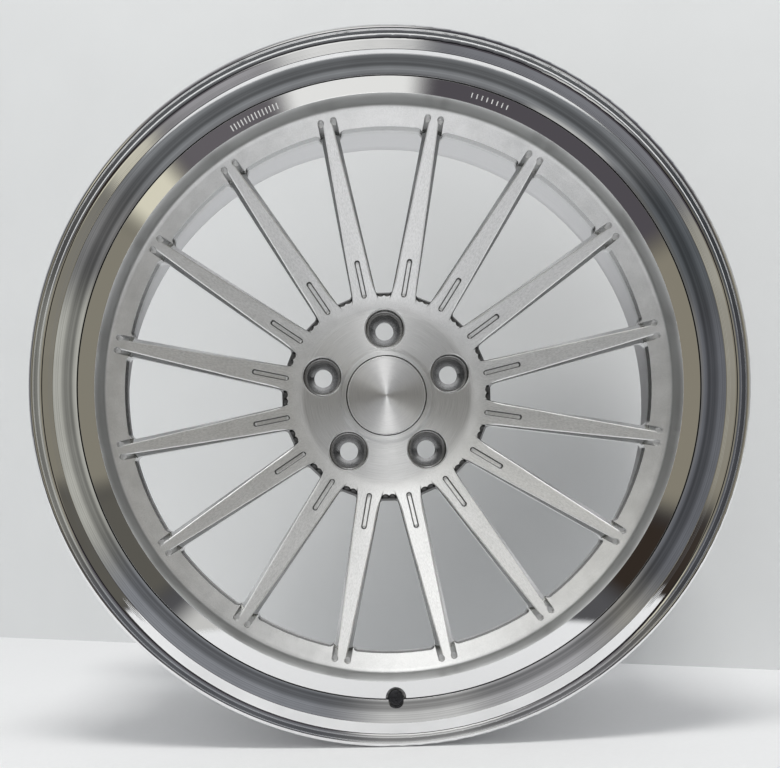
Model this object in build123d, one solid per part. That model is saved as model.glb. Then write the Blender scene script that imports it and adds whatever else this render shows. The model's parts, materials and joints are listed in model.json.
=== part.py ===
from build123d import *
import math
import os

# A two-piece forged road and track wheel. The wheel turns about the Y axis, its street side faces -Y and
# its top is +Z. The origin is on the axis, half way across the rim. Lengths are millimetres. Along the
# axis, places are given as a depth behind the outboard rim flange, which at() turns into a Y coordinate.

# Rim
rim_width = 254.0            # between the two tyre flanges, a 10 inch rim
flange_thickness = 12.7
overall_width = rim_width + 2 * flange_thickness
bead_seat_radius = 254.0     # a 20 inch rim
flange_radius = 271.3
well_radius = 236.7          # outside of the drop well
well_inner_radius = 230.2
register_radius = 238.2      # bore in the lip that locates the centre
register_depth = 27.0
lip_foot_depth = 16.0
ledge_radius = 210.0         # inner edge of the bolting flange
mount_plane = 52.0           # depth of the joint face between centre and rim
bolting_flange = 10.0

# Centre
spoke_count = 16
offset = 12.2                # rim centreline to the hub face
hub_face_depth = overall_width / 2 - offset
lug_face_depth = 102.0
boss_depth = 99.5
hub_pad_radius = 79.0
window_hub_radius = 83.2
window_hub_slope = 0.276     # how far the windows' hub ends lean out for each millimetre of depth
window_rim_radius = 206.7
hollow_radius = 3.6          # of the two round-nosed cuts at the hub end of each window
hollow_corner = 2.6
hollow_bottom = 109.6
hollow_place = 85.8
hollow_spacing = 5.6
band_inner_radius = 224.6
band_depth = 14.7
fit_gap = 0.05               # radial clearance of the turned registers
joint_bevel = 0.6            # edge break where the band meets the lip

# Hub
lug_circle = 112.0
lug_count = 5
lug_hole_radius = 7.75
lug_pocket_radius = 16.0
lug_seat_depth = 112.5
lug_seat_radius = 13.2
centre_bore_radius = 33.3
centre_bore_length = 12.0
cap_radius = 32.9
cap_bore_radius = 29.5
cap_seat_depth = 103.0
cap_gap = 0.75               # visible gap around the cap's rim

# Bolts that join centre and rim
bolt_count = 32
bolt_circle_radius = 219.5
bolt_radius = 4.0
bolt_engagement = 10.0
washer_thickness = 1.5

# Tyre valve, placed opposite the top lug hole
valve_tilt = 10.0            # degrees that the stem leans towards the wheel's axis
valve_radius = 236.0         # distance of the stem axis from the wheel axis, at valve_front_depth
valve_front_depth = 12.0
valve_floor_depth = 46.5     # bottom of the pocket that the stem stands in
valve_wall = 6.6
valve_pocket_radius = 6.1
valve_notch_radius = 7.8
valve_hole_radius = 5.7
stem_radius = 4.0
stem_length = 33.0
valve_cap_radius = 5.75
core_pin_radius = 0.6

half_pitch = 180.0 / spoke_count
pitch = 360.0 / spoke_count


def at(depth):
    """Y coordinate of a place this deep behind the outboard flange."""
    return depth - overall_width / 2


def turned(shape, angle):
    """The shape turned about the wheel's axis, clockwise as seen from the street."""
    return Rot(0, angle, 0) * shape


def ring_of(shape, count, first=0.0):
    """Copies of the shape spaced evenly about the wheel's axis."""
    return [turned(shape, first + 360.0 * i / count) for i in range(count)]


def rounded_edges(points, closed=True):
    """Edges through (radius, depth, corner radius) points, in the plane of radius and axis."""
    corners = [Vector(r, at(d)) for r, d, _ in points]
    count = len(corners)
    trimmed = []
    edges = []
    for i, corner in enumerate(corners):
        rounding = points[i][2]
        ends_here = not closed and i in (0, count - 1)
        if rounding == 0 or ends_here:
            trimmed.append((corner, corner))
            continue
        before = (corners[i - 1] - corner).normalized()
        after = (corners[(i + 1) % count] - corner).normalized()
        half_angle = math.radians(before.get_angle(after)) / 2
        start = corner + before * (rounding / math.tan(half_angle))
        end = corner + after * (rounding / math.tan(half_angle))
        bisector = (before + after).normalized()
        middle = corner + bisector * (rounding / math.sin(half_angle) - rounding)
        edges.append(ThreePointArc(start, middle, end))
        trimmed.append((start, end))
    spans = range(count) if closed else range(count - 1)
    for i in spans:
        start = trimmed[i][1]
        end = trimmed[(i + 1) % count][0]
        if (end - start).length > 1e-6:
            edges.append(Line(start, end))
    return edges


def turned_solid(points):
    """Solid of revolution about the wheel's axis from (radius, depth, corner radius) points."""
    return revolve(make_face(rounded_edges(points)), Axis.Y)


class Crown:
    """A parabola from one (radius, depth) to another whose slope changes evenly with the radius."""

    def __init__(self, start, end, control_depth):
        self.start, self.end, self.control_depth = start, end, control_depth

    def depth(self, radius):
        t = (radius - self.start[0]) / (self.end[0] - self.start[0])
        return (1 - t) ** 2 * self.start[1] + 2 * t * (1 - t) * self.control_depth + t ** 2 * self.end[1]

    def slope(self, radius):
        step = 0.01
        return (self.depth(radius + step) - self.depth(radius - step)) / (2 * step)

    def edge(self, first, last):
        """The piece of the parabola between two radii."""
        middle = (first + last) / 2
        control = self.depth(first) + self.slope(first) * (middle - first)
        return Bezier((first, at(self.depth(first))), (middle, at(control)), (last, at(self.depth(last))))


# The concave street face of the spokes, from the hub to the foot of the ring's wall, and their back.
spoke_face = Crown((74.0, lug_face_depth), (220.9, 33.6), 73.5)
spoke_back = Crown((86.0, 117.5), (207.5, 58.8), 93.0)


def blend(start, corner, end):
    """A soft corner between two (radius, depth) places, tangent to the lines from the corner."""
    return Bezier(*[(r, at(d)) for r, d in (start, corner, end)])


def joined(*places):
    """Straight edges through (radius, depth) places."""
    return [Line((a[0], at(a[1])), (b[0], at(b[1]))) for a, b in zip(places, places[1:])]


# ---------------------------------------------------------------------------------------------------------
# Rim


def rim_barrel():
    lip = [
        (register_radius, lip_foot_depth, 0),
        (246.7, 11.5, 70),           # hollow of the polished lip
        (254.0, 4.9, 0.7),           # step between lip and flange
        (264.2, 6.7, 4.0),
        (267.7, 0.0, 1.5),
        (flange_radius, 0.0, 2.4),
        (flange_radius, 9.5, 3.5),
    ]
    outboard_seat = [
        (265.5, flange_thickness, 4),
        (bead_seat_radius + 0.2, flange_thickness, 6),
        (252.7, 31.5, 3),
        (253.9, 34.5, 2),            # safety hump
        (253.7, 38.0, 2),
        (252.0, 45.0, 6),
    ]
    inboard = overall_width - flange_thickness
    tyre_side = [
        (well_radius, 65.0, 10),
        (well_radius, 104.0, 10),
        (246.5, 120.0, 12),
        (246.8, 236.0, 6),
        (253.8, 240.5, 2),
        (253.9, 244.0, 2),
        (252.6, 247.5, 3),
        (bead_seat_radius + 0.2, inboard, 6),
        (265.5, inboard, 4),
        (flange_radius, inboard + 3.3, 3.5),
        (flange_radius, overall_width, 4.5),
    ]
    brake_side = [
        (262.0, overall_width, 4),
        (249.6, 268.0, 10),
        (248.4, 245.0, 8),
        (241.9, 232.0, 10),
        (241.4, 122.0, 12),
        (well_inner_radius, 106.0, 10),
        (well_inner_radius, mount_plane + bolting_flange, 3),
        (ledge_radius, mount_plane + bolting_flange, 1.2),
        (ledge_radius, mount_plane, 0.6),
        (well_inner_radius, mount_plane, 0),
        (well_inner_radius, register_depth, 0),
        (register_radius, register_depth, 0),
    ]
    rim = turned_solid(lip + outboard_seat + tyre_side + brake_side)
    bolt_hole = hole_tool(bolt_circle_radius, bolt_radius + 0.4, mount_plane - 1, mount_plane + 20)
    rim -= ring_of(bolt_hole, bolt_count, half_pitch / 2)
    rim -= [
        stem_cylinder(valve_pocket_radius, 0, 60),
        stem_cylinder(valve_hole_radius, -20, 1),
        stem_cylinder(8.6, -25, -valve_wall),
    ]
    return rim


def hole_tool(radius_from_axis, hole_radius, first_depth, last_depth):
    """A cylinder along the axle direction, at the top of the wheel."""
    middle = at((first_depth + last_depth) / 2)
    cylinder = Rot(90, 0, 0) * Cylinder(hole_radius, last_depth - first_depth)
    return Pos(0, middle, radius_from_axis) * cylinder


# ---------------------------------------------------------------------------------------------------------
# Centre


def spoke_half_width(along):
    """Half the full width of a spoke, at a distance from the wheel's axis."""
    return 9.9 - 0.0264 * (along - 95)


def land_half_width(along):
    """Half the width of the flat on a spoke's street face."""
    return 2.85 + 0.0455 * (207 - along)


def centre_blank():
    """The forging as turned on a lathe, before the spokes are milled out."""
    face_start, face_end = 82.0, 217.9
    slope = spoke_face.slope(face_end)
    wall_foot = (220.9, spoke_face.depth(face_end) + slope * (220.9 - face_end))
    wall_lean = (band_inner_radius - wall_foot[0]) / (wall_foot[1] - band_depth)
    wall_start = (wall_foot[0] + 3.2 * wall_lean, wall_foot[1] - 3.2)
    hub_face_end = 66.0
    outer = register_radius - fit_gap
    inner = well_inner_radius - fit_gap
    hub = rounded_edges([
        (centre_bore_radius, hub_face_depth - centre_bore_length, 0),
        (cap_bore_radius, hub_face_depth - centre_bore_length, 0.5),
        (cap_bore_radius, cap_seat_depth, 0.4),
        (cap_radius + cap_gap, cap_seat_depth, 0),
        (cap_radius + cap_gap, boss_depth, 0.4),
        (37.7, boss_depth, 1.6),
        (39.8, lug_face_depth, 1.8),
        (hub_face_end, lug_face_depth, 0),
    ], closed=False)
    front = [
        blend((hub_face_end, lug_face_depth), (74.0, lug_face_depth), (face_start, spoke_face.depth(face_start))),
        spoke_face.edge(face_start, face_end),
        blend((face_end, spoke_face.depth(face_end)), wall_foot, wall_start),
    ]
    ring = rounded_edges([
        (*wall_start, 0),
        (band_inner_radius, band_depth, 0.3),
        (outer - joint_bevel, lip_foot_depth, 0),
        (outer, lip_foot_depth + joint_bevel, 0),
        (outer, register_depth, 0),
        (inner, register_depth, 0),
        (inner, mount_plane, 0.5),
        (spoke_back.end[0], mount_plane, 1.5),
        (*spoke_back.end, 0),
    ], closed=False)
    back = [spoke_back.edge(spoke_back.end[0], spoke_back.start[0])]
    hub_back = rounded_edges([
        (*spoke_back.start, 0),
        (hub_pad_radius, hub_face_depth, 1.5),
        (centre_bore_radius, hub_face_depth, 1.0),
        (centre_bore_radius, hub_face_depth - centre_bore_length, 0),
    ], closed=False)
    return revolve(make_face(hub + front + ring + back + hub_back), Axis.Y)


def window_outline(hub_end):
    """Opening between two spokes, drawn about +Z, with its hub end at this distance from the axis."""
    lean = math.radians(half_pitch)

    def side(along):
        width = spoke_half_width(along)
        return (along * math.sin(lean) - width * math.cos(lean), along * math.cos(lean) + width * math.sin(lean))

    near, far = side(60), side(240)

    def side_at(height):
        share = (height - near[1]) / (far[1] - near[1])
        return near[0] + share * (far[0] - near[0])

    top = window_rim_radius + 20
    wedge = make_face(Polyline(
        (-side_at(hub_end), hub_end), (side_at(hub_end), hub_end), (side_at(top), top), (-side_at(top), top),
        close=True,
    ))
    opening = (wedge & Circle(window_rim_radius)).faces()[0]
    opening = fillet(opening.vertices().group_by(Axis.Y)[0], 3.2)
    return fillet(opening.vertices().group_by(Axis.Y)[-1], 4.5)


def window_tool():
    first, last = 94.0, 132.0
    lean_start = spoke_face.depth(window_hub_radius)
    ends = [window_hub_radius + window_hub_slope * (depth - lean_start) for depth in (first, last)]
    near, far = [
        Plane.XZ.offset(-at(depth)) * window_outline(end) for depth, end in zip((first, last), ends)
    ]
    return loft([near, far], ruled=True) + extrude(near, 70)


def hollow_tools():
    """Two round-nosed cuts side by side, into the hub end of a window above the hub."""
    start = boss_depth - 20
    cutter = turned_solid([
        (0, start, 0),
        (hollow_radius, start, 0),
        (hollow_radius, hollow_bottom, hollow_corner),
        (0, hollow_bottom, 0),
    ])
    upright = turned(cutter, -90)
    return [Pos(side * hollow_spacing / 2, 0, hollow_place) * upright for side in (-1, 1)]


def channel(stations, section):
    """Solid along +Z that passes through a four or five sided section (x, depth) at each station."""
    faces = []
    for along in stations:
        corners = [(x, at(d)) for x, d in section(along)]
        faces.append(Plane.XY.offset(along) * make_face(Polyline(*corners, close=True)))
    return loft(faces)


def bevel_tools():
    """Mills the broad bevels and the narrow edge breaks along both flanks of a spoke that points to +Z."""
    edge_break, break_drop, steepness, overcut = 1.1, 0.35, 1.43, 0.8

    def section(along):
        face = spoke_face.depth(along)
        lift = 3.0 * max(0.0, (92 - along) / 14)
        land = land_half_width(along)
        outside = spoke_half_width(along) + overcut
        drop = break_drop + steepness * (outside - land - edge_break)
        return [
            (land, face - 10),
            (land, face - 0.25 - lift),
            (land + edge_break, face + break_drop - lift),
            (outside, face + drop - lift),
            (outside, face - 10),
        ]

    end = 214.0
    flank = channel((78, 92, 110, 135, 160, 185, 206, end), section)
    land = land_half_width(end)
    outside = spoke_half_width(end) + overcut
    radius = (outside - land) / 2
    face = spoke_face.depth(end)
    nose = Pos((land + outside) / 2, at(face - 2.5), end) * (Rot(90, 0, 0) * Cylinder(radius, 15))
    one_side = flank + nose
    return [one_side, mirror(one_side, Plane.YZ)]


def slot_tool():
    """Short slot with leaning walls, milled into the root of a spoke's street face."""
    floor_half, depth, lean, first, last = 1.25, 2.6, 0.42, 84.5, 110.0
    over = 8.0

    def section(along):
        floor = spoke_face.depth(along) + depth
        half = floor_half + lean * (depth + over)
        return [(-half, floor - depth - over), (-floor_half, floor), (floor_half, floor), (half, floor - depth - over)]

    def nose(along):
        height = depth + over
        cone = Cone(floor_half, floor_half + lean * height, height)
        return Pos(0, at(spoke_face.depth(along) + depth - height / 2), along) * (Rot(90, 0, 0) * cone)

    return channel((first, (first + last) / 2, last), section) + nose(first) + nose(last)


def back_pocket_tool():
    """Lightening channel milled along the back of a spoke."""
    depth, first, last = 9.0, 101.0, 188.0

    def half(along):
        return 5.2 - 0.02 * (along - first)

    def section(along):
        floor = spoke_back.depth(along) - depth
        return [(-half(along), floor), (half(along), floor), (half(along), floor + 30), (-half(along), floor + 30)]

    def nose(along):
        floor = spoke_back.depth(along) - depth
        return Pos(0, at(floor + 15), along) * (Rot(90, 0, 0) * Cylinder(half(along), 30))

    return channel((first, (first + last) / 2, last), section) + nose(first) + nose(last)


def lug_tool():
    """Counterbore, cone seat and hole for one wheel bolt, at the top of the bolt circle."""
    cone = (lug_seat_radius - lug_hole_radius) / math.tan(math.radians(30))
    profile = turned_solid([
        (0, 80, 0),
        (lug_pocket_radius + 1, 80, 0),
        (lug_pocket_radius + 1, lug_face_depth, 0),
        (lug_pocket_radius, lug_face_depth + 1, 0),
        (lug_pocket_radius, lug_seat_depth, 1.5),
        (lug_seat_radius, lug_seat_depth, 0),
        (lug_hole_radius, lug_seat_depth + cone, 0),
        (lug_hole_radius, hub_face_depth + 10, 0),
        (0, hub_face_depth + 10, 0),
    ])
    return Pos(0, 0, lug_circle / 2) * profile


def hub_relief_tool():
    """Round relief between two bolt holes in the hub face."""
    return hole_tool(lug_circle / 2 + 3, 9.5, hub_face_depth - 9, hub_face_depth + 5)


def mark_tools():
    """Two groups of plain engraved bars on the polished band."""
    middle = (band_inner_radius + register_radius) / 2
    bars = []
    for first, last, count, length in ((-29.5, -20.0, 14, 6.5), (17.5, 24.5, 8, 4.2)):
        for i in range(count):
            bar = Pos(0, at(band_depth), middle) * Box(0.9, 2.0, length)
            bars.append(turned(bar, first + (last - first) * i / (count - 1)))
    return bars


def forged_centre():
    centre = centre_blank()
    centre -= ring_of(window_tool(), spoke_count)
    centre -= [tool for side in hollow_tools() for tool in ring_of(side, spoke_count)]
    flanks = [tool for side in bevel_tools() for tool in ring_of(side, spoke_count, half_pitch)]
    centre -= flanks
    centre -= ring_of(slot_tool(), spoke_count, half_pitch)
    centre -= ring_of(back_pocket_tool(), spoke_count, half_pitch)
    centre -= ring_of(lug_tool(), lug_count)
    centre -= ring_of(hub_relief_tool(), lug_count, 180 / lug_count)
    thread = hole_tool(bolt_circle_radius, bolt_radius + 0.03, mount_plane - bolt_engagement - 1.5, mount_plane + 5)
    centre -= ring_of(thread, bolt_count, half_pitch / 2)
    centre -= mark_tools()
    centre -= stem_cylinder(valve_notch_radius, 18, 60)
    return centre


# ---------------------------------------------------------------------------------------------------------
# Bolts and washers


def assembly_bolts():
    seat = mount_plane + bolting_flange + washer_thickness
    length = seat - (mount_plane - bolt_engagement)
    hexagon = RegularPolygon(5.6, 6)
    head = extrude(hexagon + Rot(0, 0, 30) * hexagon, 6.0) + Pos(0, 0, 0.9) * Cylinder(6.8, 1.8)
    socket = Pos(0, 0, 6.0) * Cylinder(2.6, 3.0)
    tip = Pos(0, 0, -length / 2) * Cylinder(bolt_radius, length)
    tip = chamfer(tip.edges().group_by(Axis.Z)[0], 0.8)
    bolt = head - socket + tip
    placed = Pos(0, at(seat), bolt_circle_radius) * (Rot(-90, 0, 0) * bolt)
    return Compound(children=ring_of(placed, bolt_count, half_pitch / 2))


def assembly_washers():
    seat = mount_plane + bolting_flange
    washer = Cylinder(7.2, washer_thickness) - Cylinder(bolt_radius + 0.3, washer_thickness)
    middle = at(seat + washer_thickness / 2)
    placed = Pos(0, middle, bolt_circle_radius) * (Rot(90, 0, 0) * washer)
    return Compound(children=ring_of(placed, bolt_count, half_pitch / 2))


# ---------------------------------------------------------------------------------------------------------
# Centre cap


o_ring_depths = (106.2, 110.4)
o_ring_section = 1.19
o_ring_radius = cap_bore_radius - 0.02 - o_ring_section


def centre_cap():
    skirt_radius = cap_bore_radius - 0.3
    cap = turned_solid([
        (0, boss_depth, 0),
        (cap_radius, boss_depth, 0.6),
        (cap_radius, cap_seat_depth, 0.3),
        (skirt_radius, cap_seat_depth, 0),
        (skirt_radius, 112.8, 0.6),
        (skirt_radius - 5, 112.8, 0.6),
        (skirt_radius - 5, cap_seat_depth, 1.0),
        (0, cap_seat_depth, 0),
    ])
    groove_floor = o_ring_radius - o_ring_section - 0.02
    for depth in o_ring_depths:
        cap -= turned_solid([
            (groove_floor, depth - 1.4, 0), (skirt_radius + 1, depth - 1.4, 0),
            (skirt_radius + 1, depth + 1.4, 0), (groove_floor, depth + 1.4, 0),
        ])
    cap -= turned_solid([(30.6, 90, 0), (31.1, 90, 0), (31.1, boss_depth + 0.3, 0), (30.6, boss_depth + 0.3, 0)])
    ray = Pos(0, at(boss_depth), 15.5) * Box(1.1, 0.6, 6.5)
    cap -= ring_of(ray, spoke_count, half_pitch)
    return cap


def cap_o_rings():
    ring = Rot(90, 0, 0) * Torus(o_ring_radius, o_ring_section)
    return Compound(children=[Pos(0, at(depth), 0) * ring for depth in o_ring_depths])


# ---------------------------------------------------------------------------------------------------------
# Tyre valve. Its parts are drawn along +Z, with z = 0 on the floor of the pocket and the tip towards +z.


def on_stem(shape):
    """Carries a shape drawn along +Z to the valve's place at the bottom of the wheel."""
    reach = (valve_floor_depth - valve_front_depth) / math.cos(math.radians(valve_tilt))
    tilt = math.radians(valve_tilt)
    outward = Vector(0, -math.cos(tilt), math.sin(tilt))
    front = Vector(0, at(valve_front_depth), -valve_radius)
    return Plane(origin=front - outward * reach, x_dir=(1, 0, 0), z_dir=outward) * shape


def drawn_cylinder(radius, bottom, top):
    return Pos(0, 0, (bottom + top) / 2) * Cylinder(radius, top - bottom)


def stem_cylinder(radius, bottom, top):
    return on_stem(drawn_cylinder(radius, bottom, top))


def tube(outer, inner, bottom, top):
    return drawn_cylinder(outer, bottom, top) - drawn_cylinder(inner, bottom, top)


base_top = -valve_wall - 2.8
core_bore_radius = 2.6
plug_bottom, plug_top = 25.2, 31.0
barrel_bottom = 16.0
collar_bottom = 22.2
spring_bottom = barrel_bottom + 0.8


def valve_stem():
    base = drawn_cylinder(8.0, base_top - 2.6, base_top)
    base = fillet(base.edges().filter_by(GeomType.CIRCLE), 0.7)
    shank = drawn_cylinder(stem_radius, base_top - 1, 20) + drawn_cylinder(stem_radius - 0.15, 20, stem_length)
    shank = chamfer(shank.edges().group_by(Axis.Z)[-1], 0.5)
    stem = base + shank - drawn_cylinder(1.5, base_top - 5, 12) - drawn_cylinder(2.1, 12, 17)
    stem -= drawn_cylinder(core_bore_radius, 17, stem_length + 1)
    return on_stem(stem)


def valve_grommet():
    flange = drawn_cylinder(8.0, base_top, -valve_wall)
    flange = chamfer(flange.edges().group_by(Axis.Z)[0], 0.6)
    sleeve = drawn_cylinder(valve_hole_radius - 0.04, -valve_wall - 0.5, -1.2)
    return on_stem(flange + sleeve - drawn_cylinder(stem_radius + 0.02, base_top - 1, 1))


def valve_washer():
    return on_stem(tube(valve_pocket_radius - 0.1, stem_radius + 0.15, 0, 1.2))


def valve_nut():
    nut = tube(valve_pocket_radius - 0.2, stem_radius + 0.02, 1.2, 6.2)
    nut = chamfer(nut.edges().group_by(Axis.Z)[-1], 0.4)
    for angle in (0, 90):
        nut -= Rot(0, 0, angle) * Pos(0, 0, 6.2) * Box(20, 1.6, 3.0)
    return on_stem(nut)


def valve_cap():
    bottom, top = 20.6, 36.5
    cap = drawn_cylinder(valve_cap_radius, bottom, top)
    cap = fillet(cap.edges().group_by(Axis.Z)[-1], 1.0)
    cap = chamfer(cap.edges().group_by(Axis.Z)[0], 0.4)
    cap -= drawn_cylinder(stem_radius - 0.1, bottom - 1, stem_length + 1.2)
    cap -= Pos(0, 0, top) * Box(20, 1.1, 1.4)
    for i in range(20):
        cap -= Rot(0, 0, 18 * i) * Pos(valve_cap_radius + 0.25, 0, 27.5) * Cylinder(0.55, 11)
    return on_stem(cap)


def valve_cap_seal():
    return on_stem(drawn_cylinder(stem_radius - 0.15, stem_length + 0.02, stem_length + 1.2))


def core_plug():
    plug = tube(core_bore_radius - 0.03, core_pin_radius + 0.25, plug_bottom, plug_top)
    plug -= Pos(0, 0, plug_top) * Box(10, 1.2, 3.0)
    return on_stem(plug)


def core_gasket():
    return on_stem(tube(core_bore_radius - 0.02, 1.95, plug_bottom - 1.5, plug_bottom))


def core_barrel():
    shell = tube(1.9, 1.55, barrel_bottom, plug_bottom)
    seat = tube(1.9, core_pin_radius + 0.2, barrel_bottom, spring_bottom)
    return on_stem(shell + seat)


def core_pin():
    pin = drawn_cylinder(core_pin_radius, barrel_bottom - 1.9, stem_length - 0.5)
    pin = fillet(pin.edges().group_by(Axis.Z)[-1], 0.3)
    return on_stem(pin + drawn_cylinder(1.4, collar_bottom, collar_bottom + 0.8))


def core_pin_seal():
    return on_stem(tube(1.5, core_pin_radius + 0.01, barrel_bottom - 1.7, barrel_bottom - 0.01))


def core_spring():
    wire, coil = 0.17, 1.1
    height = collar_bottom - spring_bottom - 2 * wire - 0.04
    path = Helix(pitch=height / 5, height=height, radius=coil)
    start = path @ 0
    section = Plane(origin=start, z_dir=path % 0) * Circle(wire)
    spring = sweep(section, path=path)
    return on_stem(Pos(0, 0, spring_bottom + wire + 0.02) * spring)


# ---------------------------------------------------------------------------------------------------------

parts = [
    forged_centre, rim_barrel, assembly_bolts, assembly_washers, centre_cap, cap_o_rings,
    valve_stem, valve_grommet, valve_washer, valve_nut, valve_cap, valve_cap_seal,
    core_plug, core_gasket, core_barrel, core_pin, core_pin_seal, core_spring,
]

os.makedirs("parts", exist_ok=True)
for make in parts:
    export_step(make(), f"parts/{make.__name__}.step")
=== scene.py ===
"""Looks of a forged road and track wheel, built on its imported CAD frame.

The wheel turns about the Y axis, its street side faces -Y and +Z is up. The sizes of the wheel's finishes
are millimetres: a radius is a distance from the axle and a depth one behind the outboard tyre flange. All
other lengths are metres. An azimuth is an angle about the axle in degrees, clockwise from the top as seen
from the street.
"""
import json
import math

import bpy
from mathutils import Matrix, Vector


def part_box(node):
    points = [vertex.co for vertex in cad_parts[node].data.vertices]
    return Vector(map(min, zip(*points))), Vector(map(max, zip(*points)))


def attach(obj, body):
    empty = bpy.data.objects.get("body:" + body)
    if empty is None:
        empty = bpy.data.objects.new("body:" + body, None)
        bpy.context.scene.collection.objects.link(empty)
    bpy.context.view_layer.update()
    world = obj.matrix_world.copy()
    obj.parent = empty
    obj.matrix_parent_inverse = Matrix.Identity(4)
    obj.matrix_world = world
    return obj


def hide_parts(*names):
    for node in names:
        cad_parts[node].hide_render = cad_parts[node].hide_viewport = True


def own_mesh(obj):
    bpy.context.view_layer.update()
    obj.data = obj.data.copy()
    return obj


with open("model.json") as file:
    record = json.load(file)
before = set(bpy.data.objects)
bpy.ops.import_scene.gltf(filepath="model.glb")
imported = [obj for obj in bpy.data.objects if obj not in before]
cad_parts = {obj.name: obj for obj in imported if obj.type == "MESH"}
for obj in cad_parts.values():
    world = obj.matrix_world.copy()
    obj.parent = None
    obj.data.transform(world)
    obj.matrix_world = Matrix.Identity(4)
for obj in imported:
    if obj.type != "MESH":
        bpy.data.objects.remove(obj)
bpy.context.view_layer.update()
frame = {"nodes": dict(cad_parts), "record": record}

MM = 0.001
nodes = frame["nodes"]
rim_low = Vector(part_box("rim_barrel")[0])
cap_high = Vector(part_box("centre_cap")[1])
flange_y = rim_low.y
floor_z = rim_low.z

# Where the zones of each finish lie, in millimetres
band_inner_radius = 224.6
band_depth = 14.7
joint_bevel = 0.6                # edge break where the centre meets the lip
lip_foot_radius = 238.2
lip_foot_depth = 16.0
lip_step_radius = 254.0
flange_radius = 271.3
flange_back_depth = 9.5
cap_radius = cap_high.z / MM
boss_depth = 99.5                # face of the boss that surrounds the cap
hub_pad_radius = 70.0
hub_pad_depth = 102.0            # face that carries the lug pockets
lug_count = 5
lug_circle_radius = 56.0
lug_pocket_radius = 16.0         # of each pocket, about its own axis
spoke_count = 16
spoke_root_radius = 79.0
slot_first, slot_last = 83.0, 112.5
slot_half_width = 3.0
slot_floor = 2.3                 # how far the slots' floors lie below the spokes' crown
ring_wall_radius = 219.0
ring_wall_depth = 33.0

# The spokes' crown is a parabola from one (radius, depth) to another
crown_hub_end = (74.0, hub_pad_depth)
crown_ring_end = (220.9, 33.6)
crown_tangent_depth = 73.5       # where the tangents at its two ends meet

# The polished street face, from the edge of the centre to the tyre side of the flange: radius, depth, and
# how much each corner is rounded
street_profile = [
    (band_inner_radius, band_depth, 0),
    (lip_foot_radius - joint_bevel, lip_foot_depth, 0),
    (lip_foot_radius, lip_foot_depth + joint_bevel, 0),
    (lip_foot_radius + 0.02, lip_foot_depth, 0),
    (246.7, 11.5, 70),
    (lip_step_radius, 4.9, 0.7),
    (264.2, 6.7, 4.0),
    (267.7, 0.0, 1.5),
    (flange_radius - 0.02, 0.0, 2.4),
    (flange_radius, flange_back_depth, 0),
]


# ---------------------------------------------------------------------------------------------------------
# Node trees


class Tree:
    """Builds a node tree. add() returns the new node, the methods that work something out a socket."""

    def __init__(self, tree):
        self.tree = tree

    def add(self, kind, inputs=(), **settings):
        node = self.tree.nodes.new(kind)
        for name, value in settings.items():
            setattr(node, name, value)
        for name, value in dict(inputs).items():
            self.feed(node.inputs[name], value)
        return node

    def feed(self, socket, value):
        if isinstance(value, bpy.types.NodeSocket):
            self.tree.links.new(value, socket)
        elif socket.type == "RGBA" and len(value) == 3:
            socket.default_value = (*value, 1)
        else:
            socket.default_value = value

    def math(self, operation, *values):
        return self.add("ShaderNodeMath", enumerate(values), operation=operation).outputs[0]

    def chain(self, operation, values):
        total = values[0]
        for value in values[1:]:
            total = self.math(operation, total, value)
        return total

    def both(self, *masks):
        """Where all of the masks are."""
        return self.chain("MULTIPLY", masks)

    def either(self, *masks):
        """Where any of the masks is."""
        return self.chain("MAXIMUM", masks)

    def vector(self, x, y, z):
        return self.add("ShaderNodeCombineXYZ", {"X": x, "Y": y, "Z": z}).outputs[0]

    def unit(self, vector):
        return self.add("ShaderNodeVectorMath", {0: vector}, operation="NORMALIZE").outputs[0]

    def scaled(self, vector, factor):
        return self.add("ShaderNodeVectorMath", {0: vector, "Scale": factor}, operation="SCALE").outputs[0]

    def parts(self, vector):
        return self.add("ShaderNodeSeparateXYZ", {"Vector": vector}).outputs

    def ramp(self, value, low, high, start=0.0, end=1.0):
        """Eases from start to end as the value goes from low to high."""
        inputs = {"Value": value, "From Min": low, "From Max": high, "To Min": start, "To Max": end}
        return self.add("ShaderNodeMapRange", inputs, interpolation_type="SMOOTHSTEP").outputs[0]

    def fall(self, value, low, high):
        return self.ramp(value, low, high, 1.0, 0.0)

    def between(self, value, low, high, softness=0.3):
        rise = self.ramp(value, low - softness, low + softness)
        return self.both(rise, self.fall(value, high - softness, high + softness))

    def mix(self, factor, first, second):
        """Blends two numbers, or two colours where either is one."""
        if not (self.is_colour(first) or self.is_colour(second)):
            return self.math("MULTIPLY_ADD", factor, self.math("SUBTRACT", second, first), first)
        node = self.add("ShaderNodeMix", data_type="RGBA")
        self.feed(node.inputs[0], factor)
        self.feed(node.inputs[6], first)
        self.feed(node.inputs[7], second)
        return node.outputs[2]

    def layers(self, base, masked_values):
        """Lays each (mask, value) over what is there so far."""
        for mask, value in masked_values:
            base = self.mix(mask, base, value)
        return base

    @staticmethod
    def is_colour(value):
        if isinstance(value, bpy.types.NodeSocket):
            return value.type in ("RGBA", "VECTOR")
        return isinstance(value, tuple)

    def noise(self, vector, scale, detail=2.0, roughness=0.5):
        inputs = {"Vector": vector, "Scale": scale, "Detail": detail, "Roughness": roughness}
        return self.add("ShaderNodeTexNoise", inputs).outputs["Fac"]

    def spread(self, noise, start=0.0, end=1.0):
        """Noise stays mostly between 0.3 and 0.7. This spreads it from start to end."""
        return self.ramp(noise, 0.3, 0.7, start, end)

    def bump(self, height, distance, strength=1.0, normal=None):
        inputs = {"Height": height, "Distance": distance, "Strength": strength}
        if normal:
            inputs["Normal"] = normal
        return self.add("ShaderNodeBump", inputs).outputs[0]


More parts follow.
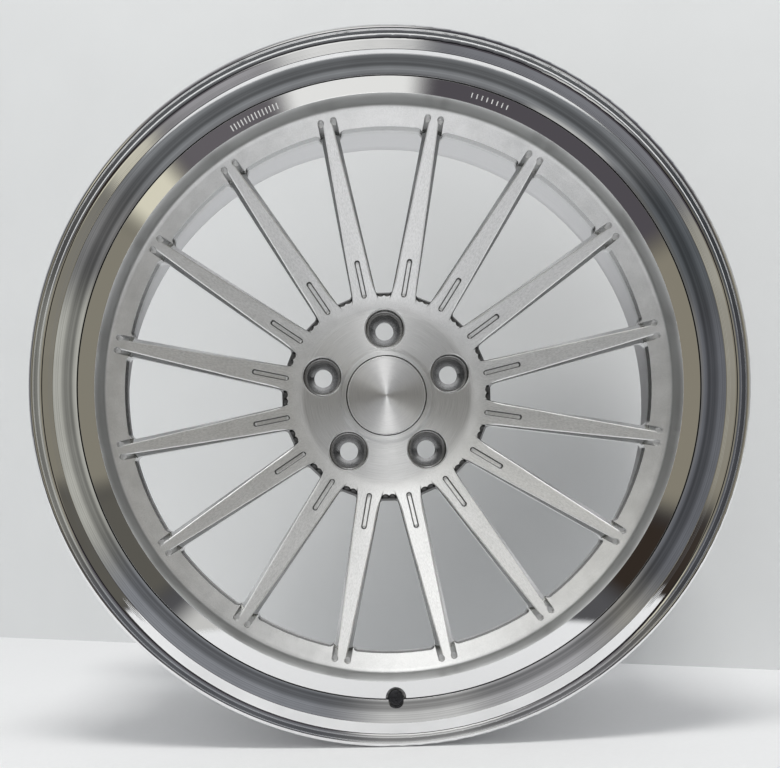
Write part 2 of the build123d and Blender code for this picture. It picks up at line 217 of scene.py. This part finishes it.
def new_material(name):
    material = bpy.data.materials.new(name)
    material.use_nodes = True
    material.node_tree.nodes.clear()
    return material, Tree(material.node_tree)


def finish_material(t, inputs):
    shader = t.add("ShaderNodeBsdfPrincipled", inputs)
    t.add("ShaderNodeOutputMaterial", {"Surface": shader.outputs[0]})


def object_place(t):
    return t.add("ShaderNodeTexCoord").outputs["Object"]


def wheel_place(t):
    """Radius, depth and angle about the axle of the shaded place, and the place itself."""
    place = object_place(t)
    x, y, z = t.parts(place)
    square = t.math("ADD", t.math("MULTIPLY", x, x), t.math("MULTIPLY", z, z))
    radius = t.math("DIVIDE", t.math("SQRT", square), MM)
    depth = t.math("DIVIDE", t.math("SUBTRACT", y, flange_y), MM)
    angle = t.math("ARCTAN2", x, z)
    return radius, depth, angle, place


def profile_leans():
    """Where the lean of the street face changes: radius from and to, sine of the lean from and to."""
    sharp_corner_reach = 0.01
    leans = []
    for (r0, d0, _), (r1, d1, _) in zip(street_profile, street_profile[1:]):
        leans.append(math.atan2(d1 - d0, r1 - r0))
    stretches = []
    for (radius, _, rounding), before, after in zip(street_profile[1:], leans, leans[1:]):
        reach = rounding * math.tan(abs(after - before) / 2)
        first = radius - max(reach * math.cos(before), sharp_corner_reach)
        last = radius + max(reach * math.cos(after), sharp_corner_reach)
        stretches.append((first, last, math.sin(before), math.sin(after)))
    return stretches


def street_normal(t, radius, place):
    """The exact normal of the turned street face, so that its mirror finish has no facets."""
    stretches = profile_leans()
    sine = stretches[0][2]
    for first, last, start, end in stretches:
        inputs = {"Value": radius, "From Min": first, "From Max": last, "To Max": end - start}
        sine = t.math("ADD", sine, t.add("ShaderNodeMapRange", inputs).outputs[0])
    sine = t.math("MINIMUM", t.math("MAXIMUM", sine, -1.0), 1.0)
    cosine = t.math("SQRT", t.math("SUBTRACT", 1.0, t.math("MULTIPLY", sine, sine)))
    place_x, _, place_z = t.parts(place)
    metres = t.math("MULTIPLY", radius, MM)
    x = t.math("MULTIPLY", t.math("DIVIDE", place_x, metres), sine)
    z = t.math("MULTIPLY", t.math("DIVIDE", place_z, metres), sine)
    vector = t.vector(x, t.math("MULTIPLY", cosine, -1.0), z)
    turned = t.add("ShaderNodeVectorTransform", {"Vector": vector}, vector_type="NORMAL",
                   convert_from="OBJECT", convert_to="WORLD")
    return t.unit(turned.outputs[0])


def blend_normals(t, factor, first, second):
    mixed = t.add("ShaderNodeMix", data_type="VECTOR")
    t.feed(mixed.inputs[0], factor)
    t.feed(mixed.inputs[4], first)
    t.feed(mixed.inputs[5], second)
    return t.unit(mixed.outputs[1])


def crown_depth(t, radius):
    """Depth of the spokes' crown, their street face before it is bevelled and slotted."""
    hub_radius, hub_depth = crown_hub_end
    ring_radius, ring_depth = crown_ring_end
    travelled = t.math("DIVIDE", t.math("SUBTRACT", radius, hub_radius), ring_radius - hub_radius)
    share = t.math("MAXIMUM", travelled, 0.0)
    rest = t.math("SUBTRACT", 1.0, share)
    hub_term = t.chain("MULTIPLY", (rest, rest, hub_depth))
    middle_term = t.chain("MULTIPLY", (share, rest, 2 * crown_tangent_depth))
    ring_term = t.chain("MULTIPLY", (share, share, ring_depth))
    return t.chain("ADD", (hub_term, middle_term, ring_term))


def from_repeat(t, radius, angle, count, first, at_radius):
    """Places repeated evenly round the wheel: distance from the nearest one, and the part of it sideways."""
    pitch = 2 * math.pi / count
    turns = t.math("DIVIDE", t.math("SUBTRACT", angle, first), pitch)
    offset = t.math("MULTIPLY", t.math("SUBTRACT", turns, t.math("ROUND", turns)), pitch)
    across = t.math("MULTIPLY", radius, t.math("SINE", offset))
    along = t.math("SUBTRACT", t.math("MULTIPLY", radius, t.math("COSINE", offset)), at_radius)
    square = t.math("ADD", t.math("MULTIPLY", across, across), t.math("MULTIPLY", along, along))
    return t.math("SQRT", square), across


def turned_grain(t, radius, depth, angle, fineness):
    """Streaks that run around the axle, as a lathe or a polishing wheel leaves them."""
    across = t.math("MULTIPLY", radius, fineness)
    along = t.math("MULTIPLY", depth, fineness)
    around = t.math("MULTIPLY", angle, 2.5)
    return t.noise(t.vector(across, along, around), 1.0, detail=4.0, roughness=0.65)


def milled_grain(t, place):
    """Fine cloudy grain of a brushed and tumbled forging."""
    coarse = t.noise(place, 70.0, detail=3.0)
    fine = t.noise(place, 2600.0, detail=2.0)
    return t.math("MULTIPLY_ADD", coarse, 0.35, t.math("MULTIPLY", fine, 0.65))


def spoke_grain(t, radius, depth, across):
    """Brush marks that run along each spoke."""
    place = t.vector(t.math("MULTIPLY", across, 1.6), t.math("MULTIPLY", radius, 0.05), depth)
    return t.noise(place, 1.0, detail=4.0, roughness=0.6)


def around_axle(t):
    """Inputs that stretch highlights across marks which run around the axle."""
    tangent = t.add("ShaderNodeTangent", direction_type="RADIAL", axis="Y").outputs[0]
    return {"Anisotropic Rotation": 0.25, "Tangent": tangent}


# ---------------------------------------------------------------------------------------------------------
# Materials of the wheel. A mask is 1 inside a zone of the surface and 0 outside it.


def band_masks(t, radius, depth):
    """The mirror band at the edge of the centre, the bars engraved in it, and its joint with the lip, where
    shade is painted.
    """
    band_outer_radius = lip_foot_radius - joint_bevel
    slope = (lip_foot_depth - band_depth) / (band_outer_radius - band_inner_radius)
    surface = t.math("MULTIPLY_ADD", t.math("SUBTRACT", radius, band_inner_radius), slope, band_depth)
    in_bars = t.ramp(t.math("SUBTRACT", depth, surface), 0.12, 0.3)
    on_band = t.both(t.ramp(radius, band_inner_radius - 0.3, band_inner_radius + 0.1),
                     t.fall(depth, lip_foot_depth + 1.0, lip_foot_depth + 1.4))
    engraved = t.both(on_band, in_bars, t.fall(radius, lip_foot_radius - 2.0, lip_foot_radius - 1.5))
    beyond_band = t.ramp(radius, band_outer_radius - 0.2, band_outer_radius)
    mirror = t.both(t.math("SUBTRACT", on_band, engraved), t.math("SUBTRACT", 1.0, beyond_band))
    # painted shade, near black, on the edge break where the centre meets the lip
    joint = t.both(beyond_band, t.fall(depth, lip_foot_depth + 4, lip_foot_depth + 5))
    return mirror, engraved, joint


def hub_masks(t, radius, depth, angle):
    """The brushed pad, the lug pockets with painted shade in them, painted highlights on the edges around
    them, and the gap around the cap, where shade is painted.
    """
    pad = t.both(t.fall(radius, hub_pad_radius - 2, hub_pad_radius + 7),
                 t.fall(depth, hub_pad_depth + 0.6, hub_pad_depth + 1.0))
    from_lug, _ = from_repeat(t, radius, angle, lug_count, 0.0, lug_circle_radius)
    # the pockets get painted shade, a darker colour than the rest of the alloy
    pocket = t.both(t.fall(from_lug, lug_pocket_radius + 0.3, lug_pocket_radius + 0.6),
                    t.ramp(depth, hub_pad_depth + 0.9, hub_pad_depth + 1.3))
    # painted highlight on the rim of each pocket
    pocket_edge_highlight = t.both(t.between(from_lug, lug_pocket_radius - 0.2, lug_pocket_radius + 1.3, 0.2),
                         t.between(depth, hub_pad_depth + 0.05, hub_pad_depth + 0.95, 0.1))
    # painted shade, near black, in the gap around the cap
    cap_gap_shade = t.both(t.between(radius, cap_radius - 0.8, cap_radius + 0.95, 0.1),
                     t.ramp(depth, boss_depth + 0.2, boss_depth + 0.7))
    return pad, pocket, pocket_edge_highlight, cap_gap_shade


def spoke_masks(t, radius, depth, across):
    """The spokes' bevels, a painted highlight along the edges above them, and the slots' walls and the
    windows' hub ends, where shade is painted.
    """
    below_crown = t.math("SUBTRACT", depth, crown_depth(t, radius))
    off_axis = t.math("ABSOLUTE", across)
    on_spokes = t.between(radius, spoke_root_radius + 2, band_inner_radius - 17, 3.0)
    bevel = t.both(on_spokes, t.ramp(off_axis, 2.4, 2.6), t.ramp(below_crown, 0.45, 0.7),
                   t.fall(below_crown, 9.0, 14.0))
    # painted highlight along the spokes' edges, just below the crown
    painted_edge_highlight = t.both(on_spokes, t.between(below_crown, 0.1, 0.5, 0.1))
    # painted shade goes on the slots' walls and on the windows' hub ends
    shaded_slot_wall = t.both(t.between(radius, slot_first - 2, slot_last + 1),
                       t.fall(off_axis, slot_half_width - 0.1, slot_half_width + 0.1),
                       t.between(below_crown, 0.15, slot_floor, 0.1))
    shaded_hub_wall = t.both(t.ramp(radius, spoke_root_radius, spoke_root_radius + 1),
                      t.fall(radius, spoke_root_radius + 10, spoke_root_radius + 14),
                      t.ramp(below_crown, 0.8, 1.6),
                      t.ramp(off_axis, slot_half_width + 0.4, slot_half_width + 1.2))
    return bevel, painted_edge_highlight, shaded_slot_wall, shaded_hub_wall


def centre_material():
    """Satin centre with a mirror band, a circular-brushed hub, machined pockets and bevels, matt bars. Shade
    is painted into the pockets, slot walls, hub ends, ring wall, cap gap and joint, highlights onto edges,
    and light and shade onto the bevels.
    """
    material, t = new_material("centre_alloy")
    radius, depth, angle, place = wheel_place(t)
    _, across = from_repeat(t, radius, angle, spoke_count, math.pi / spoke_count, 0.0)
    mirror, engraved, joint = band_masks(t, radius, depth)
    pad, pocket, pocket_edge_highlight, cap_gap_shade = hub_masks(t, radius, depth, angle)
    bevel, painted_edge_highlight, shaded_slot_wall, shaded_hub_wall = spoke_masks(t, radius, depth, across)
    # the steep wall inside the band gets painted shade, a darker colour
    ring_wall = t.both(t.between(radius, ring_wall_radius, band_inner_radius - 0.5, 1.2),
                       t.fall(depth, ring_wall_depth - 1, ring_wall_depth + 1))
    machined = t.either(pocket, shaded_slot_wall, bevel)

    rings = turned_grain(t, radius, depth, angle, 5.0)
    on_web = t.between(radius, spoke_root_radius, ring_wall_radius - 12, 5.0)
    lengthwise = spoke_grain(t, radius, depth, across)
    grain = t.mix(t.math("MULTIPLY", on_web, 0.7), milled_grain(t, place), lengthwise)
    streaks = t.mix(t.either(pad, mirror, pocket), grain, rings)
    # painted light for the spokes' bevels: those that face up get a lit colour
    painted_top_light = t.ramp(t.parts(t.add("ShaderNodeNewGeometry").outputs["Normal"])[2], 0.1, 0.5)

    rough = t.layers(t.spread(grain, 0.33, 0.43), [
        (pad, t.spread(rings, 0.42, 0.52)),
        (machined, 0.2),
        (mirror, 0.0),
        (engraved, 0.6),
    ])
    satin_metal = t.mix(t.either(pad, ring_wall), 0.86, 0.96)
    metal = t.layers(satin_metal, [(t.either(machined, mirror), 1.0), (engraved, 0.2)])
    colour = t.layers(t.mix(t.spread(streaks), (0.68, 0.685, 0.685), (0.93, 0.93, 0.935)), [
        # painted light and shade on the bevels: near white where they face up, dark grey where they face
        # down
        (bevel, t.mix(painted_top_light, (0.42, 0.425, 0.42), (0.97, 0.97, 0.96))),
        # painted shade in the lug pockets, with the turned grain in it
        (pocket, t.mix(t.ramp(rings, 0.35, 0.65), (0.20, 0.20, 0.20), (0.42, 0.42, 0.42))),
        # painted shade on the steep ring wall
        (ring_wall, (0.46, 0.465, 0.46)),
        # painted shade on the slots' walls and the windows' hub ends
        (t.either(shaded_slot_wall, shaded_hub_wall), (0.13, 0.13, 0.13)),
        # painted shade, near black, in the gap around the cap
        (cap_gap_shade, (0.012, 0.012, 0.012)),
        # painted highlight on the spokes' edges
        (painted_edge_highlight, (0.98, 0.98, 0.98)),
        # painted highlight, pure white, on the pockets' rims
        (pocket_edge_highlight, (1.0, 1.0, 1.0)),
        (mirror, (0.88, 0.88, 0.885)),
        (engraved, (0.95, 0.95, 0.94)),
        # painted shade, near black, at the joint with the lip
        (joint, (0.015, 0.015, 0.015)),
    ])
    rounded = t.add("ShaderNodeBevel", {"Radius": 0.35 * MM}, samples=4).outputs[0]
    normal = blend_normals(t, mirror, rounded, street_normal(t, radius, place))
    finish_material(t, {
        "Base Color": colour, "Metallic": metal, "Roughness": rough,
        "Normal": t.bump(streaks, 0.05 * MM, t.mix(mirror, 0.5, 0.04), normal),
        "Anisotropic": t.math("MULTIPLY", pad, 0.9), **around_axle(t),
    })
    return material


def rim_masks(t, radius, depth):
    """The mirror polished lip and flange, and the joint with the centre, where shade is painted."""
    beyond_foot = t.ramp(radius, lip_foot_radius + 0.25, lip_foot_radius + 0.35)
    front = t.both(t.fall(depth, lip_foot_depth + 0.2, lip_foot_depth + 0.5), beyond_foot)
    tyre_side = t.both(t.ramp(radius, lip_step_radius - 2, lip_step_radius - 1),
                       t.ramp(depth, flange_back_depth - 0.2, flange_back_depth + 0.3))
    mirror = t.math("SUBTRACT", front, t.both(front, tyre_side))
    # painted shade, near black, at the joint with the centre
    joint = t.both(t.ramp(radius, lip_foot_radius - 0.3, lip_foot_radius - 0.2),
                   t.math("SUBTRACT", 1.0, beyond_foot),
                   t.fall(depth, lip_foot_depth + 4, lip_foot_depth + 5))
    return mirror, joint


def rim_material():
    """Mirror polished flange and lip with fine turned lines beside the step, satin turned barrel, and
    painted shade in the joint with the centre.
    """
    line_pitch = 0.95
    material, t = new_material("rim_alloy")
    radius, depth, angle, place = wheel_place(t)
    mirror, joint = rim_masks(t, radius, depth)
    rings = turned_grain(t, radius, depth, angle, 3.0)
    cloud = t.noise(place, 25.0, detail=2.0)
    rough = t.mix(mirror, t.spread(rings, 0.30, 0.42), 0.0)
    colour = t.layers(t.mix(t.spread(rings), (0.80, 0.80, 0.81), (0.88, 0.88, 0.885)), [
        (mirror, t.mix(t.ramp(cloud, 0.35, 0.7), (0.84, 0.84, 0.845), (0.92, 0.92, 0.925))),
        # painted shade, near black, at the joint with the centre
        (joint, (0.015, 0.015, 0.015)),
    ])
    lines = t.math("SINE", t.math("MULTIPLY", radius, 2 * math.pi / line_pitch))
    line_zone = t.between(radius, lip_step_radius + 0.9, lip_step_radius + 3.6, 0.2)
    marks = t.math("MULTIPLY", rings, 0.3)
    height = t.math("MULTIPLY_ADD", t.math("MULTIPLY", line_zone, lines), 0.5, marks)
    flat = t.add("ShaderNodeNewGeometry").outputs["Normal"]
    normal = blend_normals(t, mirror, flat, street_normal(t, radius, place))
    finish_material(t, {
        "Base Color": colour, "Metallic": t.mix(mirror, 0.82, 1.0), "Roughness": rough,
        "Normal": t.bump(height, 0.04 * MM, t.mix(mirror, 0.6, 0.25), normal),
    })
    return material


def cap_material():
    """Spun aluminium: the fine circles spread each light into a wedge."""
    material, t = new_material("cap_alloy")
    radius, depth, angle, _ = wheel_place(t)
    rings = turned_grain(t, radius, depth, angle, 9.0)
    face = t.fall(radius, cap_radius - 1.2, cap_radius - 0.6)
    finish_material(t, {
        "Base Color": t.mix(t.spread(rings), (0.74, 0.74, 0.75), (0.90, 0.90, 0.90)),
        "Metallic": 1.0, "Roughness": t.mix(face, 0.22, t.spread(rings, 0.34, 0.44)),
        "Normal": t.bump(rings, 0.03 * MM, 0.5),
        "Anisotropic": t.math("MULTIPLY", face, 0.93), **around_axle(t),
    })
    return material


def small_metal(name, dark, light, roughness, metallic=1.0):
    """Metal of a small turned piece, with a fine grain in its colour, gloss and surface."""
    grain_scale = 900.0
    material, t = new_material(name)
    place = object_place(t)
    grain = t.noise(place, grain_scale, detail=4.0)
    wear = t.noise(place, grain_scale / 6, detail=3.0)
    finish_material(t, {
        "Base Color": t.mix(t.spread(grain), dark, light), "Metallic": metallic,
        "Roughness": t.spread(wear, roughness * 0.8, roughness * 1.25),
        "Normal": t.bump(grain, 0.03 * MM, 0.5),
    })
    return material


def rubber_material():
    """Black rubber of the seals, with a dusty grain."""
    material, t = new_material("seal_rubber")
    grain = t.noise(object_place(t), 1500.0, detail=4.0)
    finish_material(t, {
        "Base Color": t.mix(grain, (0.012, 0.012, 0.012), (0.035, 0.035, 0.034)),
        "Roughness": t.spread(grain, 0.5, 0.75), "Normal": t.bump(grain, 0.05 * MM, 0.6),
    })
    return material


def dress(names, material):
    for name in names:
        slots = nodes[name].data.materials
        slots.clear()
        slots.append(material)


def dress_all():
    dress(["forged_centre"], centre_material())
    dress(["rim_barrel"], rim_material())
    dress(["centre_cap"], cap_material())
    bolt_steel = small_metal("bolt_steel", (0.42, 0.42, 0.44), (0.62, 0.62, 0.64), 0.30)
    dress(["assembly_bolts"], bolt_steel)
    washer_steel = small_metal("washer_steel", (0.50, 0.50, 0.52), (0.70, 0.70, 0.71), 0.28)
    dress(["assembly_washers", "valve_washer"], washer_steel)
    valve_alloy = small_metal("valve_alloy", (0.05, 0.05, 0.055), (0.11, 0.11, 0.12), 0.32)
    dress(["valve_stem", "valve_nut"], valve_alloy)
    cap_black = small_metal("cap_black", (0.012, 0.012, 0.014), (0.04, 0.04, 0.045), 0.34, metallic=0.6)
    dress(["valve_cap"], cap_black)
    core_brass = small_metal("core_brass", (0.55, 0.40, 0.16), (0.80, 0.62, 0.30), 0.25)
    dress(["core_plug", "core_barrel", "core_pin"], core_brass)
    seals = ["cap_o_rings", "valve_grommet", "valve_cap_seal", "core_gasket", "core_pin_seal"]
    dress(seals, rubber_material())


# ---------------------------------------------------------------------------------------------------------
# The valve core's spring, a coil at its resting length; the real one shortens as the pin is pressed in


def coil_mesh(middle, outward, coil_radius, wire_radius, height):
    """Wire coiled about an axis that lies across X, with its ends cut square."""
    turns, steps_per_turn, wire_sides = 5, 32, 10
    across = Vector((1, 0, 0))
    upright = outward.cross(across)
    steps = turns * steps_per_turn
    points = []
    for step in range(steps + 1):
        angle = 2 * math.pi * step / steps_per_turn
        away = across * math.cos(angle) + upright * math.sin(angle)
        on_wire = middle + away * coil_radius + outward * height * (step / steps - 0.5)
        for side in range(wire_sides):
            around = 2 * math.pi * side / wire_sides
            points.append(on_wire + (away * math.cos(around) + outward * math.sin(around)) * wire_radius)
    faces = [tuple(range(wire_sides)), tuple(steps * wire_sides + i for i in reversed(range(wire_sides)))]
    for step in range(steps):
        for side in range(wire_sides):
            here = step * wire_sides + side
            there = step * wire_sides + (side + 1) % wire_sides
            faces.append((there, here, here + wire_sides, there + wire_sides))
    mesh = bpy.data.meshes.new("coiled_spring")
    mesh.from_pydata(points, [], faces)
    mesh.polygons.foreach_set("use_smooth", [len(face) == 4 for face in faces])
    return mesh


def add_spring():
    """Coil between its seat in the core and the pin's collar, in place of the plain CAD spring."""
    wire_radius = 0.17 * MM
    joint = next(j for j in frame["record"]["behaviour"]["joints"] if j["name"] == "core_pin_press")
    outward = -Vector(joint["axis"]).normalized()
    low, high = [Vector(corner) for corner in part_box("core_spring")]
    middle = (low + high) / 2
    outer_radius = (high.x - low.x) / 2
    length = (high.y - low.y - 2 * outer_radius * abs(outward.z)) / abs(outward.y)
    mesh = coil_mesh(middle, outward, outer_radius - wire_radius, wire_radius, length - 2 * wire_radius)
    mesh.materials.append(small_metal("spring_steel", (0.45, 0.45, 0.46), (0.68, 0.68, 0.69), 0.25))
    spring = bpy.data.objects.new("coiled_spring", mesh)
    bpy.context.scene.collection.objects.link(spring)
    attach(spring, "wheel")
    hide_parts("core_spring")
    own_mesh(spring)


# ---------------------------------------------------------------------------------------------------------
# Camera

sensor_width_mm = 36.0
lens_mm = 54.72
lens_shift = (0.04487, 0.13462)  # right and up, as shares of the sensor's width
camera_distance = 0.889          # from the middle of the outboard flange, along the line of sight
camera_left = 0.0250             # how far the camera stands left of the axle and below it
camera_drop = 0.0769
camera_turn = 0.0127             # how far the line of sight turns left of the axle, and down from it
camera_dip = 0.0112
camera_roll = math.radians(1.5)


def add_camera():
    """The picture is cut off-centre from a wider one, which other views must not be."""
    right = Vector((math.cos(camera_roll), 0, -math.sin(camera_roll)))
    up = Vector((math.sin(camera_roll), 0, math.cos(camera_roll)))
    forward = (Vector((0, 1, 0)) - right * camera_turn - up * camera_dip).normalized()
    side = forward.cross(up).normalized()
    above = side.cross(forward)
    middle = Vector((0, flange_y, 0))
    place = middle - side * camera_left - above * camera_drop - forward * camera_distance
    camera = bpy.data.objects.new("camera", bpy.data.cameras.new("camera"))
    bpy.context.scene.collection.objects.link(camera)
    camera.matrix_world = Matrix.Translation(place) @ Matrix((side, above, -forward)).transposed().to_4x4()
    camera.data.sensor_width = sensor_width_mm
    camera.data.lens = lens_mm
    camera.data.clip_start = 0.01
    bpy.context.scene.camera = camera
    tripod = bpy.data.objects.new("tripod", None)
    bpy.context.scene.collection.objects.link(tripod)
    tripod.location = place
    for name, amount in zip(("shift_x", "shift_y"), lens_shift):
        shift_when_on(tripod, camera, name, amount)


def shift_when_on(tripod, camera, name, amount):
    """Shifts the lens only while the camera stands on its tripod."""
    driver = camera.data.driver_add(name).driver
    driver.type = "SCRIPTED"
    gap = driver.variables.new()
    gap.name = "gap"
    gap.type = "LOC_DIFF"
    gap.targets[0].id = camera
    gap.targets[1].id = tripod
    driver.expression = f"{amount:.5f} * (gap < 0.001)"


# ---------------------------------------------------------------------------------------------------------
# Floor, wall and lamp

stage_reach = 6.0                # half the size of the floor, and of the wall sideways
wall_height = 5.0
wall_gap = 0.47                  # from the outboard flange back to the wall, straight behind the axle
wall_yaw = math.radians(-24)
table_reach = 0.30               # how far in front of the flange glossy surfaces see the table end
table_end_blur = 0.03


def plane_object(name, corners, material):
    mesh = bpy.data.meshes.new(name)
    mesh.from_pydata(corners, [], [tuple(range(len(corners)))])
    mesh.materials.append(material)
    plane = bpy.data.objects.new(name, mesh)
    bpy.context.scene.collection.objects.link(plane)
    return plane


def clear_where(t, hidden, shader):
    """Ends the material with a shader that is clear where hidden is 1."""
    clear = t.add("ShaderNodeBsdfTransparent")
    mix = t.add("ShaderNodeMixShader", {0: hidden, 1: shader.outputs[0], 2: clear.outputs[0]})
    t.add("ShaderNodeOutputMaterial", {"Surface": mix.outputs[0]})


def add_floor():
    """Pale table. Glossy surfaces see it end a little way in front of the wheel."""
    material, t = new_material("floor_paper")
    place = object_place(t)
    fibre = t.noise(place, 300.0, detail=3.0)
    paper = t.add("ShaderNodeBsdfPrincipled", {
        "Base Color": t.mix(fibre, (0.85, 0.855, 0.86), (0.89, 0.895, 0.90)), "Roughness": 0.75,
    })
    glossy_ray = t.add("ShaderNodeLightPath").outputs["Is Glossy Ray"]
    table_end = flange_y - table_reach
    beyond_table = t.fall(t.parts(place)[1], table_end, table_end + table_end_blur)
    clear_where(t, t.both(glossy_ray, beyond_table), paper)
    signs = [(-1, -1), (1, -1), (1, 1), (-1, 1)]
    plane_object("floor", [(x * stage_reach, y * stage_reach, floor_z) for x, y in signs], material)


def add_wall():
    """Pale wall behind the wheel, seen from the street side only."""
    material, t = new_material("wall_paint")
    mottle = t.noise(object_place(t), 9.0, detail=3.0)
    tint = t.mix(mottle, (0.75, 0.76, 0.76), (0.80, 0.81, 0.81))
    paint = t.add("ShaderNodeBsdfDiffuse", {"Color": tint})
    clear_where(t, t.add("ShaderNodeNewGeometry").outputs["Backfacing"], paint)
    foot = Vector((0, flange_y + wall_gap, floor_z))
    along = Vector((math.cos(wall_yaw), math.sin(wall_yaw), 0)) * stage_reach
    top = Vector((0, 0, wall_height))
    corners = [foot - along, foot + along, foot + along + top, foot - along + top]
    wall = plane_object("wall", corners, material)
    wall.visible_diffuse = False
    wall.visible_glossy = False
    wall.visible_shadow = False
    wall.visible_transmission = False


def add_key_light():
    """Broad soft lamp high above the camera, a little to its left, kept out of the reflections."""
    lamp = bpy.data.lights.new("key", "AREA")
    lamp.shape = "RECTANGLE"
    lamp.size = 1.0
    lamp.size_y = 0.7
    lamp.energy = 37.0
    lamp.color = (1.0, 0.99, 0.97)
    light = bpy.data.objects.new("key", lamp)
    bpy.context.scene.collection.objects.link(light)
    light.location = (-0.12, -1.0, 2.45)
    light.rotation_euler = (-light.location).to_track_quat("-Z", "Y").to_euler()
    light.visible_glossy = False
    light.visible_camera = False


# ---------------------------------------------------------------------------------------------------------
# Surroundings. A polar angle is measured in degrees from straight ahead of the street side.

# Strips of the studio as mirror surfaces see them: name, azimuth and half the width in degrees, then the
# light near the polar axis and the light far from it
studio_strips = [
    ("window strip", -41, 6, (0.72, 0.69, 0.55), (0.165, 0.16, 0.145)),
    ("ceiling lamp", -3, 12, (0.84, 0.84, 0.82), (0.29, 0.29, 0.285)),
    ("left wall", -73, 26, (0.24, 0.225, 0.18), (0.072, 0.075, 0.083)),
    ("beside the lamp", -25, 10, (0.13, 0.12, 0.13), (0.22, 0.22, 0.225)),
    ("right ceiling", 33, 24, (0.085, 0.078, 0.088), (0.12, 0.125, 0.135)),
    ("right wall", 81, 24, (0.25, 0.23, 0.18), (0.225, 0.225, 0.205)),
    ("shelf", 116, 9, (0.035, 0.026, 0.020), (0.11, 0.11, 0.11)),
    ("left floor", -112, 13, (0.11, 0.105, 0.09), (0.055, 0.06, 0.065)),
    ("dim floor", 180, 55, (0.09, 0.09, 0.095), (0.12, 0.125, 0.13)),
    ("table edge", -140, 9, (0.60, 0.60, 0.58), (0.10, 0.105, 0.11)),
]
near_blur, far_blur = 3.5, 8     # softness of the strips' sides, in degrees
between_strips = (0.05, 0.05, 0.052)
behind_camera = (0.012, 0.012, 0.014)
rear_low, rear_high = (0.34, 0.34, 0.345), (0.62, 0.63, 0.64)
camera_to_strips = (9, 14)       # polar angles over which one light gives way to the next
near_to_far = (34, 44)
strips_to_rear = (76, 98)
far_fading = (42, 50, 1.9, 0.85)     # polar angles over which the far lights change, and their strength
far_growing = (53, 66, 1.0, 2.2)

# The same studio as satin metal sees it, where only broad soft sources count: name, azimuth, half the
# width and softness in degrees, light
soft_sources = [
    ("lamp surround", -18, 34, 12, (0.60, 0.60, 0.585)),
    ("pale table", -160, 62, 14, (0.56, 0.565, 0.57)),
    ("lamp on the table", 180, 14, 8, (1.30, 1.30, 1.30)),
    ("left wall", -80, 24, 8, (0.17, 0.165, 0.15)),
    ("right wall", 78, 34, 12, (0.25, 0.24, 0.215)),
    ("ceiling lamp", -2, 9, 5, (2.30, 2.30, 2.26)),
    ("window", -44, 6, 5, (0.95, 0.93, 0.85)),
]
between_sources = (0.30, 0.30, 0.295)
soft_behind_camera = (0.22, 0.22, 0.22)
soft_rear_low, soft_rear_high = (0.05, 0.05, 0.05), (1.20, 1.21, 1.22)
camera_to_soft = (4, 20)
soft_to_rear = (85, 110)

light_on_matt = (0.60, 0.61, 0.62)
backdrop = (0.74, 0.76, 0.77)


def away_from(t, heading, azimuth):
    """Angle in degrees between a heading and an azimuth."""
    towards = (math.sin(math.radians(azimuth)), 0, math.cos(math.radians(azimuth)))
    dot = t.add("ShaderNodeVectorMath", {0: heading, 1: towards}, operation="DOT_PRODUCT")
    return t.math("DEGREES", t.math("ARCCOSINE", t.math("MINIMUM", dot.outputs["Value"], 1.0)))


def mirror_room(t, heading, polar, above):
    """What mirror surfaces see: strips that are bright near the polar axis and faint and uneven far out."""
    near = far = between_strips
    for _, azimuth, half_width, near_light, far_light in studio_strips:
        away = away_from(t, heading, azimuth)
        near = t.mix(t.fall(away, half_width - near_blur, half_width + near_blur), near, near_light)
        far = t.mix(t.fall(away, half_width - far_blur, half_width + far_blur), far, far_light)
    strength = t.math("MULTIPLY", t.ramp(polar, *far_fading), t.ramp(polar, *far_growing))
    stripes = t.noise(t.vector(polar, 0.0, 0.0), 0.22, detail=3.0, roughness=0.6)
    far = t.scaled(t.scaled(far, strength), t.ramp(stripes, 0.36, 0.64, 0.8, 1.3))
    room = t.mix(t.ramp(polar, *near_to_far), near, far)
    room = t.mix(t.ramp(polar, *camera_to_strips), behind_camera, room)
    return t.mix(t.ramp(polar, *strips_to_rear), room, t.mix(above, rear_low, rear_high))


def satin_room(t, heading, polar, above):
    """What satin metal sees: broad soft sources, and a bright ceiling behind the wheel."""
    soft = between_sources
    for _, azimuth, half_width, softness, light in soft_sources:
        away = away_from(t, heading, azimuth)
        soft = t.mix(t.fall(away, half_width - softness, half_width + softness), soft, light)
    soft = t.mix(t.ramp(polar, *camera_to_soft), soft_behind_camera, soft)
    return t.mix(t.ramp(polar, *soft_to_rear), soft, t.mix(above, soft_rear_low, soft_rear_high))


def add_world():
    """Plain and pale to the camera and to matt surfaces, a studio to metal."""
    world = bpy.data.worlds.new("studio")
    bpy.context.scene.world = world
    world.use_nodes = True
    world.node_tree.nodes.clear()
    t = Tree(world.node_tree)
    direction = t.add("ShaderNodeTexCoord").outputs["Generated"]
    across_axle = t.add("ShaderNodeVectorMath", {0: direction, 1: (1, 0, 1)}, operation="MULTIPLY")
    heading = t.unit(across_axle.outputs[0])
    _, along_axle, height = t.parts(direction)
    polar = t.math("DEGREES", t.math("ARCCOSINE", t.math("MULTIPLY", along_axle, -1)))
    above = t.ramp(height, 0.1, 0.8)
    satin = satin_room(t, heading, polar, above)
    mirror = mirror_room(t, heading, polar, above)
    rays = t.add("ShaderNodeLightPath").outputs
    on_metal = t.mix(rays["Is Singular Ray"], satin, mirror)
    colour = t.mix(rays["Is Glossy Ray"], light_on_matt, on_metal)
    colour = t.mix(rays["Is Camera Ray"], colour, backdrop)
    background = t.add("ShaderNodeBackground", {"Color": colour, "Strength": 1.0})
    t.add("ShaderNodeOutputWorld", {"Surface": background.outputs[0]})


dress_all()
add_spring()
add_camera()
add_floor()
add_wall()
add_key_light()
add_world()
bpy.context.scene.view_settings.view_transform = "Standard"
